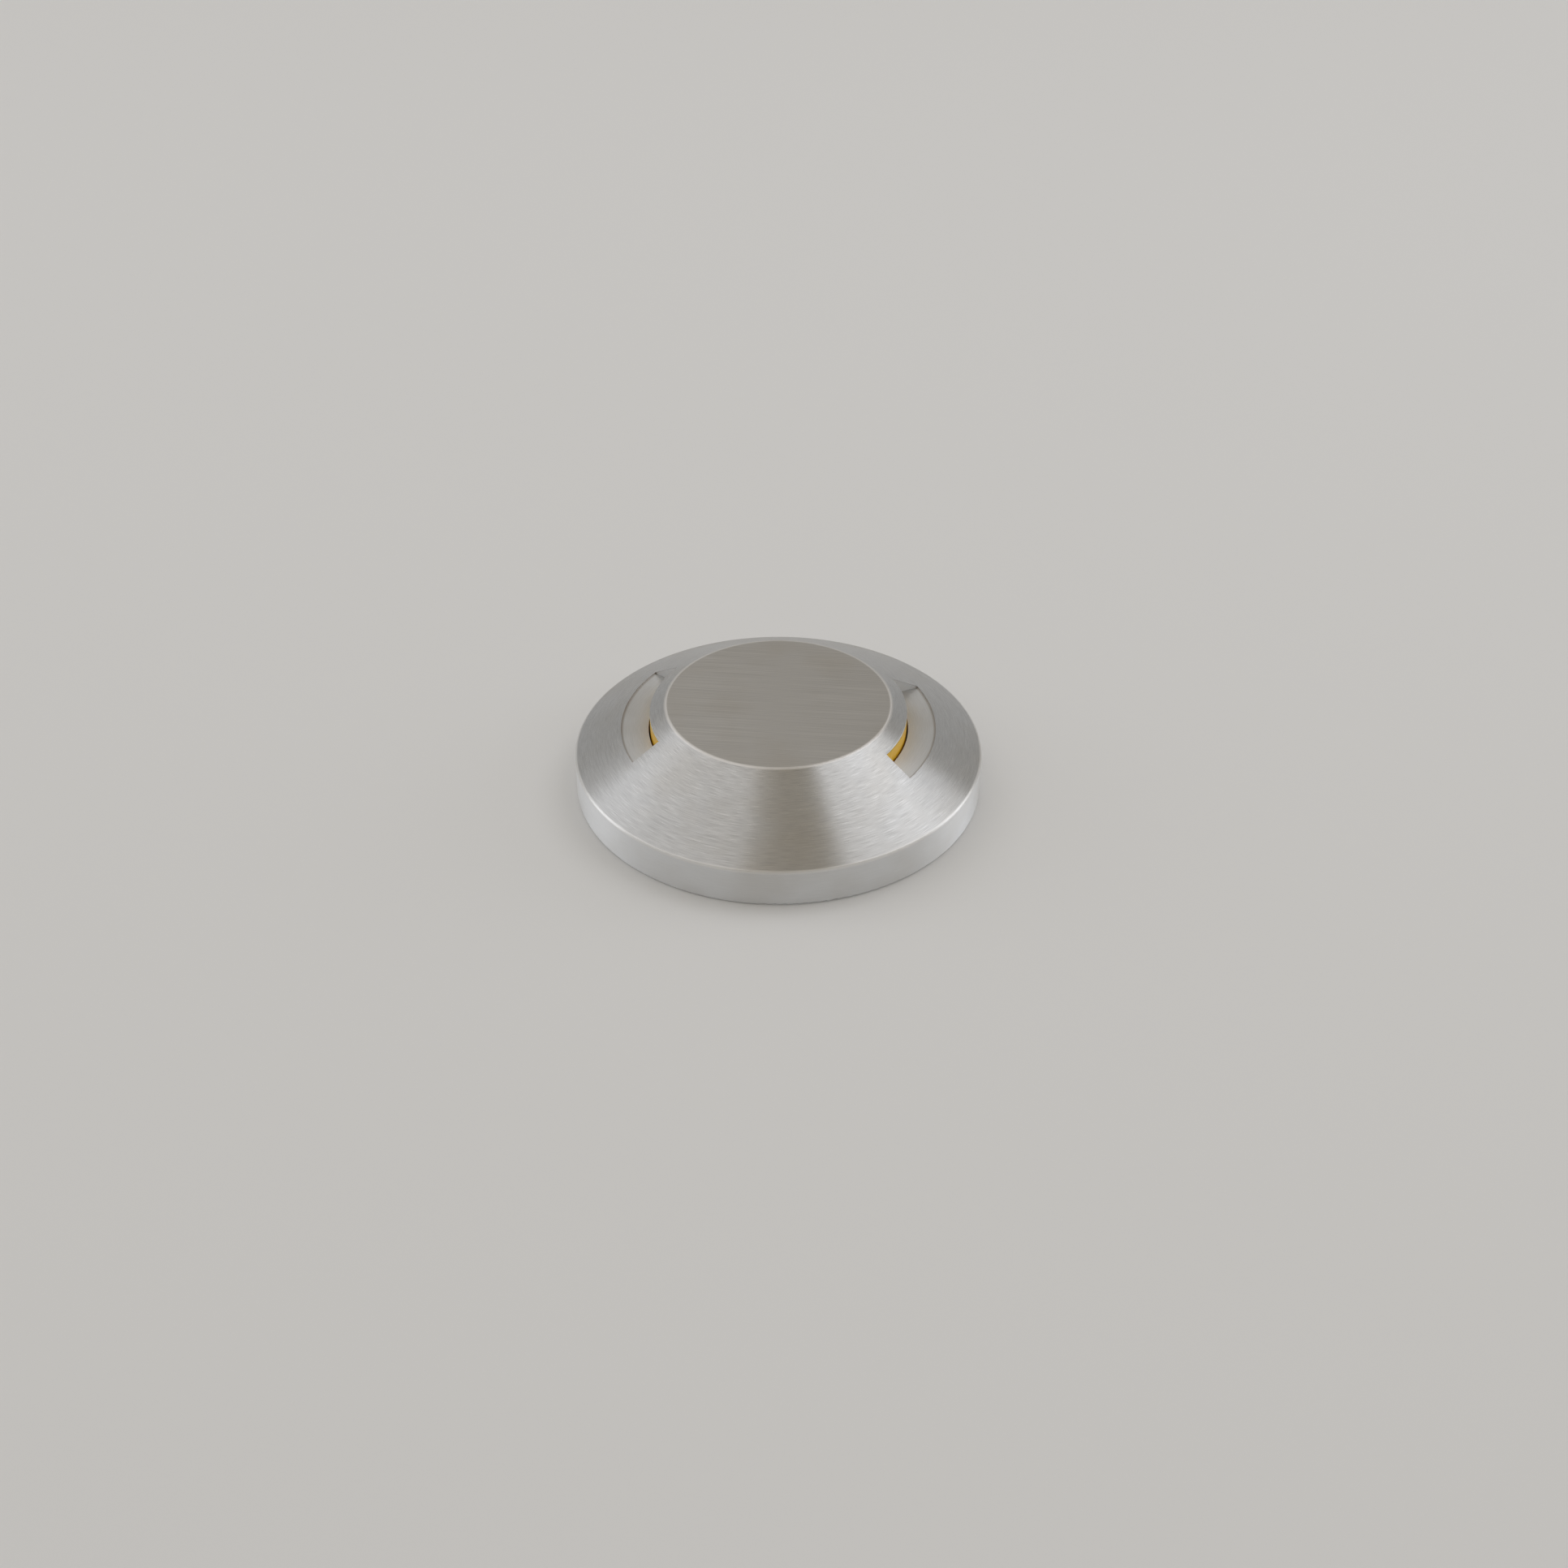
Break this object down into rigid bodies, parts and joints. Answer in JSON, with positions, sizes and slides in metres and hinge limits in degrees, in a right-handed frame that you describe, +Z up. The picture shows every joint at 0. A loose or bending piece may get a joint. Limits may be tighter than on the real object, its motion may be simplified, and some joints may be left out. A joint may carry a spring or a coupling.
{
  "type": "path indicator light",
  "caption": "Round brushed steel path light set flush in paving: a low bevelled cap with amber windows on opposite sides over a sealed lamp can in a ground sleeve.",
  "frame": {"origin": "on the lamp's axis at ground level, where the cap's rim meets the paving", "axes": "+Z up out of the ground along the lamp's axis, windows facing +X and -X"},
  "size_m": [0.06, 0.06, 0.0717],
  "materials": {
    "brushed_steel_cap": "brushed in rings on the bevel and in straight lines on the top",
    "amber_lens": "clear amber moulding",
    "black_rubber": "matt",
    "cast_aluminium": "bead blasted",
    "machined_aluminium": "turned",
    "thermal_silicone": "matt",
    "white_circuit_board": "white solder resist",
    "led_package": "phosphor in a white case",
    "steel_screw": "bright",
    "red_lead": "silicone insulation",
    "black_lead": "silicone insulation",
    "brass_spacer": "nickel free brass",
    "green_circuit_board": "green solder resist",
    "capacitor_sleeve": "shrink sleeve",
    "ferrite": "ferrite",
    "chip_resin": "moulded resin",
    "terminal_plastic": "moulded",
    "gland_nylon": "moulded nylon",
    "grey_sleeve_plastic": "moulded"
  },
  "bodies": {
    "sleeve": {"mounting_sleeve": "grey_sleeve_plastic"},
    "gasket": {"ground_gasket": "black_rubber"},
    "lamp": {"bezel_cap": "brushed_steel_cap", "board_screws": "steel_screw", "bridge_rectifier": "chip_resin", "cap_screws": "steel_screw", "carrier_plate": "machined_aluminium", "carrier_seal": "black_rubber", "choke": "ferrite", "driver_board": "green_circuit_board", "driver_chip": "chip_resin", "driver_screws": "steel_screw", "gland_body": "gland_nylon", "gland_dome_nut": "gland_nylon", "gland_insert": "black_rubber", "gland_locknut": "gland_nylon", "gland_washer": "black_rubber", "grip_ring_lower": "black_rubber", "grip_ring_upper": "black_rubber", "housing_can": "cast_aluminium", "led_board_left": "white_circuit_board", "led_board_right": "white_circuit_board", "led_post": "machined_aluminium", "leds_left": "led_package", "leds_right": "led_package", "lens_base_seal": "black_rubber", "lens_ring": "amber_lens", "lens_top_seal": "black_rubber", "live_leads": "red_lead", "post_screws": "steel_screw", "return_leads": "black_lead", "smoothing_capacitor": "capacitor_sleeve", "standoffs": "brass_spacer", "supply_terminal": "terminal_plastic", "terminal_screws": "steel_screw", "thermal_pad": "thermal_silicone", "wire_grommets": "black_rubber"}
  },
  "joints": [
    {"name": "lamp_aim", "type": "hinge", "parent": "sleeve", "child": "gasket", "pos_m": [0, 0, 0], "axis": [0, 0, 1], "continuous": true},
    {"name": "lamp_lift", "type": "slide", "parent": "gasket", "child": "lamp", "axis": [0, 0, 1], "range_m": [0, 0.06]}
  ]
}
